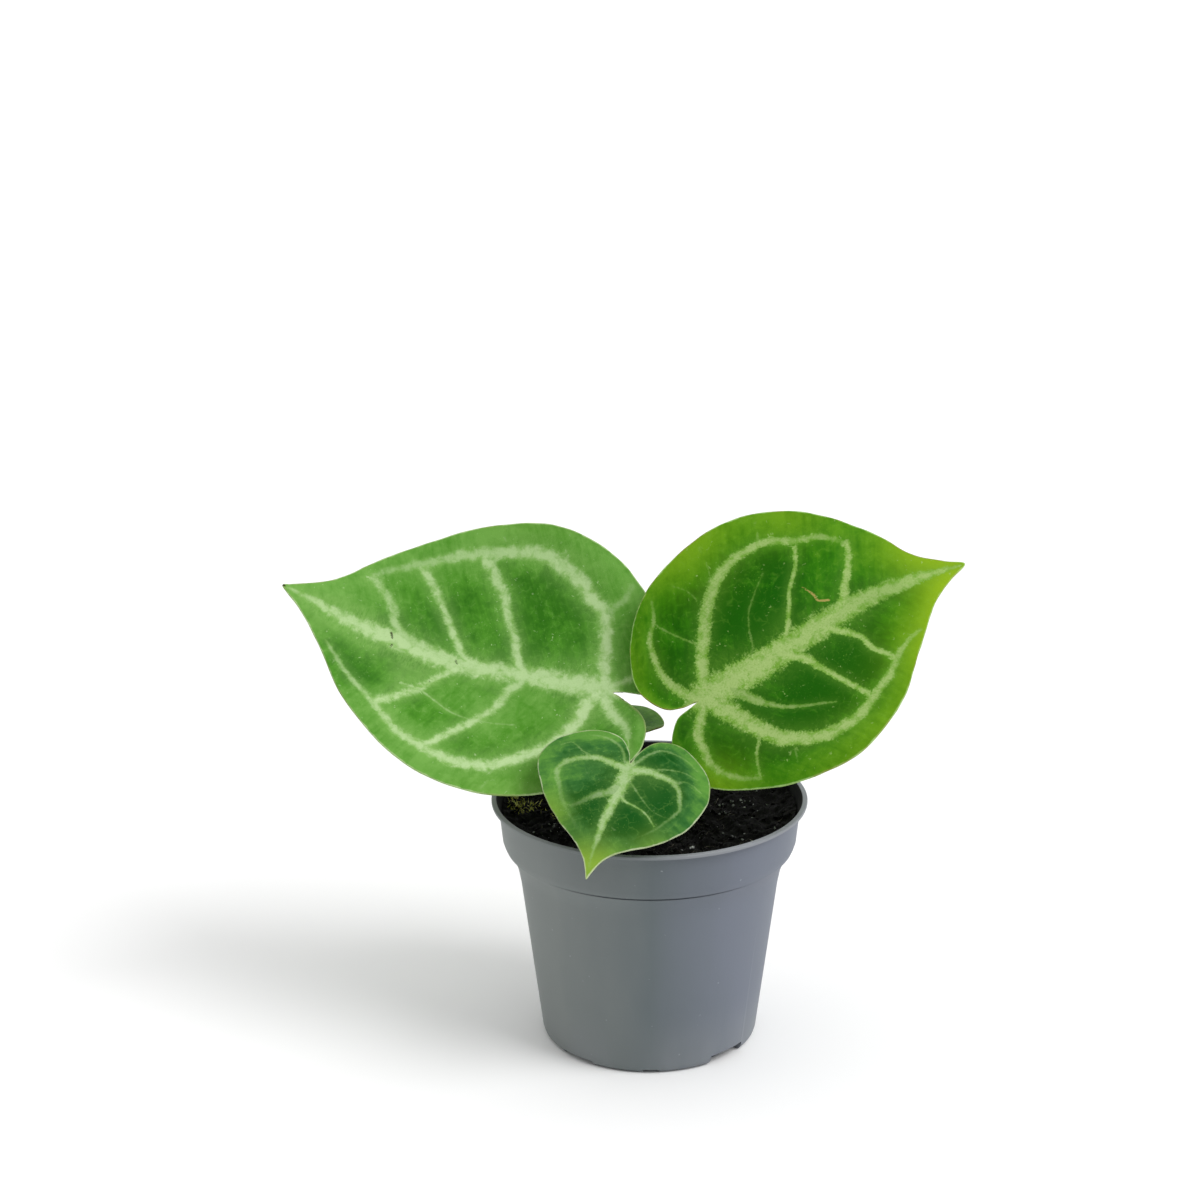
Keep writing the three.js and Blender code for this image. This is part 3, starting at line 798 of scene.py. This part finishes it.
frontLeaf = {
    "node": "leaf_front",
    "at": (-3.6, -17.6, 60.4), "heading": -110, "pitch": -25, "roll": -10,
    "curl": -0.8, "cup": -0.003, "wave": 0.3,
    "stalkRoute": [(0.4, -2.7, 46), (-0.8, -6.2, 51.4), (-2.5, -11, 54.8), (-3.5, -15.4, 56.8)],
    "stalkSize": 0.75,
    "edge": [(188, 1), (174, 3.6), (160, 7.4), (137, 10.9), (108, 13.7), (82, 16), (56, 17.1), (30, 17.7),
             (12, 18.8), (4.6, 20.8), (1.2, 23.3), (0, 24.6), (-1.6, 23.2), (-5, 21), (-12, 18.9),
             (-32, 17), (-56, 16.4), (-84, 16.9), (-104, 15.2), (-128, 11), (-150, 7.4), (-161, 3.8),
             (-168, 1.1)],
    "edgeSteps": 12, "rings": 90, "middle": 4,
    "midrib": ((1.7, 1.5, 0.95, 0.75, 0.4, 0.15), (0.78, 0.84, 0.86, 0.82, 0.4, 0),
               [(0, 0), (6, -0.1), (12, -0.5), (18, -0.5), (23.6, -0.1)]),
    "veins": [
        ((1.1, 0.7, 0.65, 0.5, 0.3), (0.8, 0.75, 0.6, 0.2, 0),
         [(-60, 5), (-86, 14), (-94, 29), (-93, 41), (-89, 51), (-82, 65), (-72, 78), (-63, 80),
          (-52, 81), (-42, 84), (-25, 86), (-12, 90)]),
        ((1.3, 0.85, 0.4), (0.7, 0.45, 0.1),
         [(-3, 20), (-8, 32), (-20, 43), (-27, 54), (-30, 66), (-32, 80)]),
        ((1.4, 0.9, 0.65, 0.5, 0.35, 0.2), (0.85, 0.78, 0.7, 0.55, 0.3, 0),
         [(56, 6), (88, 15), (91, 27), (88, 39), (86, 50), (83, 57), (76, 65), (68, 71), (61, 78),
          (52, 79), (34, 84), (16, 90)]),
        ((0.4, 0.25, 0.2), (0.85, 0.7, 0.6), [(3, 30), (12, 42), (23, 49), (33, 61), (37, 82)]),
        ((0.35, 0.15, 0.12), (0.4, 0.3, 0.2), [(8, 14), (28, 28), (35, 44), (40, 61), (47, 75)]),
        ((0.4, 0.2), (0.4, 0.2), [(-120, 10), (-145, 51), (-138, 72), (-128, 82), (-120, 87)]),
        ((0.2, 0.15), (0.4, 0.25), [(-94, 40), (-97, 59), (-102, 73), (-103, 83), (-97, 88)]),
        ((0.4, 0.2), (0.4, 0.2),
         [(130, 8), (151, 27), (149, 57), (142, 72), (130, 78), (118, 85), (106, 89)]),
        (*hair, [(100, 30), (104, 50), (102, 70), (96, 84)]),
        (*hair, [(84, 56), (90, 72), (84, 90)]),
    ],
    "paleSpots": [(4, 0, 3, 0.3), (3, -6, 2.5, 0.35), (5, 6, 2.5, 0.2), (1.5, 4.5, 2.5, 0.55)],
    "colors": {"deep": (14, 78, 18), "mid": (48, 103, 44), "light": (88, 142, 56),
               "warm": (134, 168, 56), "vein": (172, 200, 142), "glow": (132, 176, 84),
               "rimPale": (204, 212, 176), "rimDark": (150, 166, 104)},
    "base": -0.1, "outer": 0.5, "fringe": 0.7, "haze": 0.32, "sparkle": 0.7, "flecks": 0.12,
    "veinEdge": (0.38, 0.72),
    "tones": [(-5, -9, 5, 0.75), (10, -14, 6, 0.15), (11, 4, 4, -0.7), (10, -4, 3.5, -0.6),
              (4, 8, 4, -0.35), (5, -9, 4, 0.7), (-2, 11, 5, 0.4), (5, 14, 5, 0.15), (2, -15, 4, 0.2)],
    "warmths": [(22, 0, 5, 1), (15.5, 9.5, 4, 0.35), (13.5, -10.5, 4, 0.5)],
    "rimTone": 0.25, "sheen": 0.03,
}

backLeaf = {
    "node": "leaf_back",
    "at": (-8, 14, 57), "heading": 118, "pitch": 0, "roll": 0,
    "curl": -0.5, "cup": -0.002, "wave": 0.3,
    "stalkRoute": [(-0.9, 2.8, 46), (-2.6, 6.6, 50.8), (-5.4, 10.4, 53.4)], "stalkSize": 0.75,
    "edge": [(184, 1), (172, 4.4), (150, 7.8), (120, 10.4), (90, 12), (60, 13.4), (32, 15.6), (10, 19.5),
             (2, 23.4), (0, 25), (-2, 23.4), (-10, 19.5), (-32, 15.6), (-60, 13.4), (-90, 12),
             (-120, 10.4), (-150, 7.8), (-168, 4.2), (-174, 1)],
    "edgeSteps": 14, "rings": 80, "middle": 3,
    "midrib": ((1.3, 1, 0.7, 0.5, 0.2), (1, 1, 0.9, 0.8, 0.4),
               [(0, 0), (6, -0.1), (13, 0.2), (20, 0), (24.4, 0)]),
    "veins": [
        (widths, strengths, [(side * angle, share) for angle, share in route])
        for side in (1, -1)
        for widths, strengths, route in (
            ((1, 0.6, 0.5, 0.35), (1, 0.9, 0.8, 0.3),
             [(60, 5), (80, 20), (84, 40), (76, 60), (60, 76), (40, 82), (20, 88), (8, 93)]),
            ((0.6, 0.35), (0.9, 0.8), [(3, 26), (18, 42), (32, 60), (42, 80)]),
            ((0.6, 0.35), (0.9, 0.7), [(2, 45), (10, 60), (18, 74), (22, 87)]),
            ((0.7, 0.3), (0.9, 0.4), [(110, 10), (140, 35), (138, 60), (126, 80)]))
    ],
    "paleSpots": [],
    "colors": {"deep": (48, 90, 18), "mid": (66, 114, 32), "light": (96, 138, 50),
               "warm": (96, 118, 40), "vein": (152, 180, 112), "glow": (110, 146, 76),
               "rimPale": (150, 160, 100), "rimDark": (96, 86, 46)},
    "base": 0.12, "outer": 0.4, "fringe": 1, "haze": 0.5, "sparkle": 0.7, "flecks": 0.3,
    "veinEdge": (0.4, 0.66),
    "tones": [(6, 8, 6, 0.2)],
    "warmths": [(20, 0, 6, 0.4)],
    "rimTone": 0.2, "sheen": 0.05,
}

blades = {
    "sheet": 0.42,          # mm, thickness between the veins
    "rimSheet": 0.28,
    "thickest": 1.5,
    "ribs": 0.6,            # how much thicker the main veins are
    "quilt": 0.3,           # how far the green swells between the veins
    "ripple": 0.12,         # small waves of the outline
    "weld": 0.0003,         # mm, joins the seam and the middle
    "flatSpan": 160,        # mm across the flat map
}


def leafAxes(leaf):
    heading, pitch = math.radians(leaf["heading"]), math.radians(leaf["pitch"])
    level = math.cos(pitch)
    along = Vector((level * math.cos(heading), level * math.sin(heading), math.sin(pitch)))
    left = Vector((0, 0, 1)).cross(along).normalized()
    left.rotate(Matrix.Rotation(math.radians(leaf["roll"]), 3, along))
    up = along.cross(left)
    return np.array(along), np.array(left), np.array(up)


def bladePlace(leaf, flat, reach, lift):
    # from a flat place to the leaf's own: the midrib curls, the halves cup and the margin waves
    along, left, up = leafAxes(leaf)
    curl = math.radians(leaf["curl"])
    x, y = flat[:, 0], flat[:, 1]
    turn = np.where(x > 0, curl * x, 0)
    forward = np.where(x > 0, np.sin(turn) / curl, x)
    rise = np.where(x > 0, (1 - np.cos(turn)) / curl, 0)
    outwards = reach ** 3 * np.clip(np.hypot(x, y) / 8, 0, 1) ** 2
    wave = leaf["wave"] * np.sin(5 * np.arctan2(y, x) + 0.8) * outwards
    raised = leaf["cup"] * y ** 2 + wave + lift
    normal = np.outer(np.cos(turn), up) - np.outer(np.sin(turn), along)
    return (np.array(leaf["at"]) + np.outer(forward, along) + np.outer(rise, up) + np.outer(y, left)
            + normal * raised[:, None])


def flatPlace(angle, out):
    return out * math.cos(math.radians(angle)), out * math.sin(math.radians(angle))


def outlineOf(leaf):   # the soft outline, with small ripples
    corners = [flatPlace(*corner) for corner in leaf["edge"]]
    outline = smoothCurve(corners, leaf["edgeSteps"], closed=True, spread=0.5)
    lengths = np.cumsum(np.linalg.norm(outline - np.roll(outline, 1, axis=0), axis=1))
    out = np.linalg.norm(outline, axis=1)
    ripple = np.array([noise.noise(Vector((length * 0.32, leaf["heading"], 0.5))) for length in lengths])
    calm = np.clip(out / 12, 0, 1) / np.maximum(out, 1)   # no ripples close to the stalk joint
    outline = outline * (1 + blades["ripple"] * ripple * calm)[:, None]

    # seen from the middle, the way round never steps back
    away = outline - (leaf["middle"], 0)
    turn = np.unwrap(np.arctan2(away[:, 1], away[:, 0]))
    slack = 0.0002 * np.arange(len(turn))
    turn = np.minimum.accumulate(turn + slack) - slack
    around = np.column_stack([np.cos(turn), np.sin(turn)])
    return (leaf["middle"], 0) + np.linalg.norm(away, axis=1)[:, None] * around


def reachOf(outline, flat):   # how far out each place lies, from 0 at the stalk joint to 1 at the outline
    turns = np.unwrap(np.arctan2(outline[:, 1], outline[:, 0]))
    order = np.argsort(turns)
    turn = np.arctan2(flat[:, 1], flat[:, 0])
    turn = np.where(turn > turns[0], turn - 2 * math.pi, turn)
    edge = np.interp(turn, turns[order], np.linalg.norm(outline, axis=1)[order])
    return np.clip(np.linalg.norm(flat, axis=1) / edge, 0, 1)


def veinsOf(leaf, rows):   # their lines turned into flat places
    angles = [angle for angle, _ in leaf["edge"]][::-1]
    reaches = [out for _, out in leaf["edge"]][::-1]
    veins = []
    for widths, strengths, line in rows:
        places = [flatPlace(angle, percent / 100 * np.interp(angle, angles, reaches))
                  for angle, percent in line]
        veins.append((widths, strengths, smoothCurve(places, 5)))
    return veins


def nearest(line, flat):   # how far each place is from a line, how far along the line, and on which side
    distance = np.full(len(flat), 1e9)
    share = np.zeros(len(flat))
    side = np.ones(len(flat))
    for k in range(len(line) - 1):
        start, step = line[k], line[k + 1] - line[k]
        t = np.clip(((flat - start) @ step) / max(step @ step, 1e-9), 0, 1)
        gap = np.linalg.norm(flat - start - t[:, None] * step, axis=1)
        closer = gap < distance
        distance[closer] = gap[closer]
        share[closer] = (k + t[closer]) / (len(line) - 1)
        aside = flat - start
        side[closer] = np.where(step[0] * aside[closer, 1] < step[1] * aside[closer, 0], -1, 1)
    return distance, share, side


def spreadAlong(values, share):   # values given from a vein's start to its end
    values = np.atleast_1d(values).astype(float)
    return np.interp(share, np.linspace(0, 1, len(values)), values)


def strokes(flat, veins):
    # level is 0.5 at a vein's edge and rises inwards, half is its half width, gap the way across it
    # with a sign for its side, and run the way along it. Glow is its soft halo, sink the dip that
    # the green makes beside it, and rib the ridge under it.
    names = ("level", "strength", "half", "run", "gap", "glow", "sink", "rib")
    made = {name: np.zeros(len(flat)) for name in names}
    for index, (widths, strengths, line) in enumerate(veins):
        distance, share, side = nearest(line, flat)
        half = spreadAlong(widths, share)
        strength = spreadAlong(strengths, share)
        level = 0.5 + (half - distance) / (1.0 + 1.6 * half)
        length = np.linalg.norm(np.diff(line, axis=0), axis=1).sum()
        best = level > made["level"]
        found = {"level": level, "strength": strength, "half": half,
                 "gap": side * distance, "run": share * length + 31.7 * index}
        for name, values in found.items():
            made[name][best] = values[best]
        for name, most, width in (("glow", strength, 1.7 * half + 0.5), ("sink", strength, 0.8 + half),
                                  ("rib", np.minimum(half, 1) * strength, 0.55 * half + 0.4)):
            made[name] = np.maximum(made[name], most * np.exp(-(distance / width) ** 2))
    return made


def patches(flat, spots):
    amount = np.zeros(len(flat))
    for x, y, spread, strength in spots:
        amount += strength * np.exp(-((flat[:, 0] - x) ** 2 + (flat[:, 1] - y) ** 2) / spread ** 2)
    return amount


def paintBlade(mesh, leaf, flat, reach, rimGap, drawn, centre):
    outer = np.clip((reach - 0.66) / (0.9 - 0.66), 0, 1)
    outer = leaf["outer"] * outer * outer * (3 - 2 * outer)
    for layer in ("level", "strength", "half", "run", "gap"):
        paint(mesh, layer, drawn[layer])
    paint(mesh, "glow", np.clip(np.maximum(drawn["glow"], centre) + patches(flat, leaf["paleSpots"]), 0, 1))
    paint(mesh, "rim", np.clip(1 - rimGap / 1.6, 0, 1))
    # tone patches lighten or darken the green: partly the leaf's own mottling, partly painted light and
    # shade
    paint(mesh, "tone", patches(flat, leaf["tones"]) + outer + leaf["rimTone"] * np.exp(-rimGap / 2.5))
    warmth = patches(flat, leaf["warmths"]) * (0.3 + 0.7 * np.exp(-rimGap / 6))
    paint(mesh, "warmth", np.clip(warmth, 0, 1))
    if "marks" in leaf:
        paint(mesh, "mark", strokes(flat, veinsOf(leaf, leaf["marks"]))["level"])

    uvLayer = mesh.uv_layers[0]
    uvLayer.name = "flatMap"
    corners = np.empty(len(mesh.loops), np.int32)
    mesh.loops.foreach_get("vertex_index", corners)
    uvLayer.data.foreach_set("uv", (flat[corners] / blades["flatSpan"] + 0.5).astype(np.float32).ravel())


def makeBlade(name, leaf):
    # a grid whose columns run from the leaf's middle to its outline, and whose rings run round it
    outline = outlineOf(leaf)
    columns, rings = len(outline), leaf["rings"]
    bpy.ops.mesh.primitive_grid_add(x_subdivisions=columns, y_subdivisions=rings, size=2)
    blade = justAdded(name)
    mesh = blade.data
    square = np.empty(len(mesh.vertices) * 3, np.float32)
    mesh.vertices.foreach_get("co", square)
    square = square.reshape(-1, 3).astype(float)
    column = np.rint((square[:, 0] + 1) / 2 * columns).astype(int) % columns
    out = (square[:, 1] + 1) / 2
    middle = np.array([leaf["middle"], 0.0])
    flat = middle + (outline[column] - middle) * out[:, None]
    reach = reachOf(outline, flat)

    widths, strengths, line = leaf["midrib"]
    drawn = strokes(flat, [(widths, strengths, smoothCurve(line, 5))] + veinsOf(leaf, leaf["veins"]))
    centre = np.exp(-(np.linalg.norm(flat, axis=1) / (5 * leaf["stalkSize"])) ** 2)
    rimGap = nearest(np.vstack([outline, outline[:1]])[::2], flat)[0]
    rimGap[out > 0.999] = 0
    paintBlade(mesh, leaf, flat, reach, rimGap, drawn, centre)

    away = 1 - np.exp(-(rimGap / 1.6) ** 2)
    lift = blades["quilt"] * leaf["stalkSize"] * (1 - drawn["sink"]) * away
    sheet = blades["sheet"] + (blades["rimSheet"] - blades["sheet"]) * np.exp(-rimGap / 1.5)
    thickness = sheet + (blades["ribs"] * drawn["rib"] + 0.3 * centre) * away
    placed = bladePlace(leaf, flat, reach, lift) * mm
    mesh.vertices.foreach_set("co", placed.astype(np.float32).ravel())
    mesh.update()
    group = blade.vertex_groups.new(name="thickness")
    for index, weight in enumerate(np.clip(thickness / blades["thickest"], 0, 1).tolist()):
        group.add((index,), weight, "REPLACE")
    with wholeMesh():
        bpy.ops.mesh.remove_doubles(threshold=blades["weld"] * mm)

    body = blade.modifiers.new("body", "SOLIDIFY")
    body.thickness = blades["thickest"] * mm
    body.offset = -1
    body.vertex_group = "thickness"
    body.thickness_vertex_group = 0
    body.material_offset = 1
    body.material_offset_rim = 0
    mesh.materials.append(bladeTop(name + "Velvet", leaf))
    mesh.materials.append(bladeUnder(name + "Underside"))
    applyAll(blade)
    bpy.ops.object.shade_smooth()
    standFor(blade, leaf["node"])
    return blade


def bladeRead(tree, layer):
    return node(tree, "Attribute", output="Fac", attribute_name=layer)


def flatMm(tree):   # the flat place in mm, read from the blade's own map
    span = blades["flatSpan"]
    return node(tree, "Mapping", {"Vector": node(tree, "UVMap", uv_map="flatMap"),
                                  "Location": (-span / 2, -span / 2, 0), "Scale": (span, span, span)})


def netOf(tree, flat):   # the small net veins: 0 on their lines, bent so that no cell is straight
    bend = node(tree, "TexNoise", {"Vector": flat, "Scale": 0.45, "Detail": 3.0}, output="Color")
    bent = node(tree, "VectorMath", {0: bend, 1: (2.2, 2.2, 0), 2: flat}, operation="MULTIPLY_ADD")
    settings = {"Vector": bent, "Scale": 0.5, "Randomness": 1.0}
    return node(tree, "TexVoronoi", settings, feature="DISTANCE_TO_EDGE")


def bladeTop(name, leaf):
    material, tree = newMaterial(name)
    tints = {name: color(*tint) for name, tint in leaf["colors"].items()}
    level, strength, half, run, gap, glow, rim, tone, warmth = (bladeRead(tree, layer) for layer in (
        "level", "strength", "half", "run", "gap", "glow", "rim", "tone", "warmth"))
    flat = flatMm(tree)
    clouds = grain(flat, 0.11, 4, 0.6)
    mottle = grain(flat, 0.5, 4, 0.62, 0.4)
    feather = grain(flat, 2.6, 3, 0.7)
    velvet = grain(flat, 6, 2, 0.6)
    net = netOf(tree, flat)

    # streaks that follow the side veins, alike on both halves
    x, y, _ = apart(flat)
    streakAt = node(tree, "CombineXYZ", {0: abs(y) * -0.55 + x, 1: abs(y) * 0.14})
    streaks = grain(streakAt, 0.8, 3, 0.55, 0.3)

    # the green between the veins, with tone patches that are partly the leaf's own mottling and partly
    # painted light and shade
    shade = clouds.swing(1.3) + tone + mottle.swing(0.9) + streaks.swing(0.7) + leaf["base"]
    green = shade.ramp([(0.0, tints["deep"]), (0.42, tints["mid"]), (0.95, tints["light"])])
    green = mix(warmth, green, tints["warm"])
    green = mix(net.fade(0.1, 0.0) * mottle.fade(0.45, 0.65, 0.16), green, tints["glow"])
    green = mix(feather.fade(0.62, 0.69) * clouds.fade(0.46, 0.6, 0.75), green, tints["glow"])
    flecks = grain(flat, 0.9, 3, 0.6, 0.8).fade(0.655, 0.71)
    green = mix(flecks * clouds.fade(0.42, 0.56, leaf["flecks"]), green, tints["vein"])

    # the pale halo, then the veins, whose sides are fringed across their run
    fringeAt = node(tree, "CombineXYZ", {0: run, 1: gap * 0.35})
    fringe = grain(fringeAt, 2.2, 5, 0.75, 0.4).fade(0.25, 0.75)
    green = mix(glow * (fringe * 0.5 + 0.35) * leaf["haze"], green, tints["glow"])
    slim = half.fade(0.85, 0.6)   # slim veins are drawn from their own centre line
    drawn = (half - abs(gap)) / (half * 1.6 + 0.7) + 0.5
    edge = level + slim * (drawn - level)
    sparkle = 0.5 * leaf["sparkle"]
    ragged = edge + fringe.swing(0.14 * leaf["fringe"]) + feather.swing(sparkle) + mottle.swing(0.4)
    near = (slim * -0.17 + level).fade(0.14, 0.3)
    covered = ragged.fade(*leaf["veinEdge"]) * strength * near
    veinTint = mix((ragged + mottle.swing(1.2)).fade(0.4, 1.0), tints["glow"], tints["vein"])
    veinTint = mix(feather.fade(0.46, 0.37, sparkle), veinTint, tints["glow"])
    veinTint = mix(feather.fade(0.58, 0.67, sparkle), veinTint, tints["rimPale"])
    surface = mix(covered, green, veinTint)

    # margin line and small marks
    rimTint = mix(clouds.fade(0.42, 0.6), tints["rimPale"], tints["rimDark"])
    surface = mix((rim + mottle.swing(0.3)).fade(0.84, 0.97, 0.65), surface, rimTint)
    if "marks" in leaf:
        mark = bladeRead(tree, "mark") + feather.swing(0.25)
        surface = mix(mark.fade(0.48, 0.6, 0.9), surface, tints["mark"])

    relief = velvet + streaks * 1.5 + net.fade(0.0, 0.2, 0.25) - covered * 0.6
    dress(tree, {"Base Color": surface, "Roughness": velvet * 0.2 + 0.45, "Specular IOR Level": 0.05,
                 "Sheen Weight": leaf["sheen"], "Sheen Roughness": 0.4, "Sheen Tint": (0.9, 1.0, 0.85, 1)},
          bump=(relief, 0.35, 0.12))
    return material


def bladeUnder(name):
    material, tree = newMaterial(name)
    flat = flatMm(tree)
    fine = grain(flat, 3.2, 3, 0.6)
    net = netOf(tree, flat)
    green = grain(flat, 0.4, 4, 0.6).ramp([(0.3, color(92, 130, 62)), (0.7, color(120, 152, 84))])
    green = mix(net.fade(0.08, 0.0, 0.35), green, color(156, 180, 118))
    raised = bladeRead(tree, "level").fade(0.45, 0.8, 0.95) * bladeRead(tree, "strength")
    surface = mix(raised, green, color(174, 194, 136))
    dress(tree, {"Base Color": surface, "Roughness": fine * 0.2 + 0.45},
          bump=(fine + net.fade(0.1, 0.0), 0.3, 0.15))
    return material


stalks = {
    "rings": 60,
    "sides": 3,            # bevel resolution, 16 faces round
    "rootDepth": 0.56,     # mm under the blade's upper face, where the stalk ends
}


def stalkRadius(size, share):   # mm: wide at the sheath, slim, then a swollen joint under the blade
    taper = 1 if share < 0.93 else (1 - share) / 0.07
    sheath = 0.8 * max(0, 1 - share / 0.25) ** 2
    joint = 0.3 * math.exp(-((share - 0.9) / 0.07) ** 2)
    return size * (0.4 + (0.6 + sheath + joint) * taper)


def makeStalk(name, leaf):
    top = bladePlace(leaf, np.array([[1.3, 0.0]]), np.array([0.0]), np.array([-stalks["rootDepth"]]))[0]
    route = smoothCurve(leaf["stalkRoute"] + [tuple(top)], stalks["rings"] // 3, spread=0.5)
    lengths = np.concatenate([[0], np.cumsum(np.linalg.norm(np.diff(route, axis=0), axis=1))])
    stalk = startTubes(name, 1, stalks["sides"])
    addTube(stalk, route, [stalkRadius(leaf["stalkSize"], length / lengths[-1]) for length in lengths])
    stalk = tubesToMesh(stalk)
    with wholeMesh():
        bpy.ops.mesh.remove_doubles(threshold=0.001 * mm)
        faceOutwards()
    smooth(stalk, 50)
    standFor(stalk, leaf["node"], fleshMaterial(
        name + "Flesh", color(140, 150, 84), color(118, 158, 74), color(164, 128, 96), 45, 60))
    return stalk


for side, leaf in (("left", leftLeaf), ("right", rightLeaf), ("front", frontLeaf), ("back", backLeaf)):
    blade = makeBlade(side + "Blade", leaf)
    stalk = makeStalk(side + "Stalk", leaf)
    print(side, "leaf made:", len(blade.data.polygons) + len(stalk.data.polygons), "faces")
